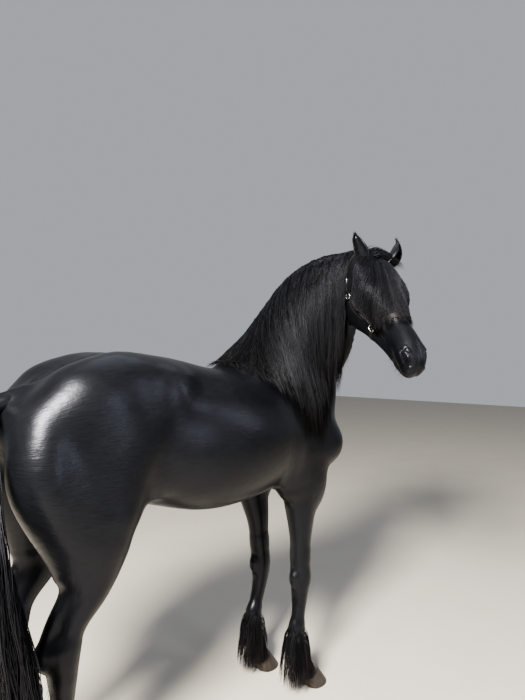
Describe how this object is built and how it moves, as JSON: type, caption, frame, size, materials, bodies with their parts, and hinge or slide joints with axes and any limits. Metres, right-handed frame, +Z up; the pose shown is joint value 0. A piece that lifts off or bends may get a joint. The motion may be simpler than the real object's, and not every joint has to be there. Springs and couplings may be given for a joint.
{
  "type": "friesian horse",
  "caption": "Life-size still model of a standing black horse with long mane, tail and feathered feet, its head turned to its right, wearing a leather halter.",
  "frame": {"origin": "middle of the horse's overall box, at the floor under its hooves", "axes": "+X towards the horse's breast, +Y to its left, +Z up from the floor"},
  "size_m": [1.9292, 1.086, 2.1938],
  "materials": {
    "coat": "satin",
    "hair": "satin",
    "horn": "matte",
    "eye": "wet gloss",
    "leather": "smooth",
    "chrome": "polished"
  },
  "bodies": {
    "root": {"torso": "coat", "neck": "coat", "head": "coat", "ear_left": "coat", "ear_right": "coat", "leg_fore_left": "coat", "leg_fore_right": "coat", "leg_hind_left": "coat", "leg_hind_right": "coat", "hoof_fore_left": "horn", "hoof_fore_right": "horn", "hoof_hind_left": "horn", "hoof_hind_right": "horn", "tail": "hair", "eye_left": "eye", "eye_right": "eye", "halter_cheek_left": "leather", "halter_cheek_right": "leather", "halter_crown": "leather", "halter_throat": "leather", "halter_noseband": "leather", "halter_chin": "leather", "halter_jowl_ring_left": "chrome", "halter_jowl_ring_right": "chrome", "halter_nose_ring_left": "chrome", "halter_nose_ring_right": "chrome"}
  },
  "joints": []
}
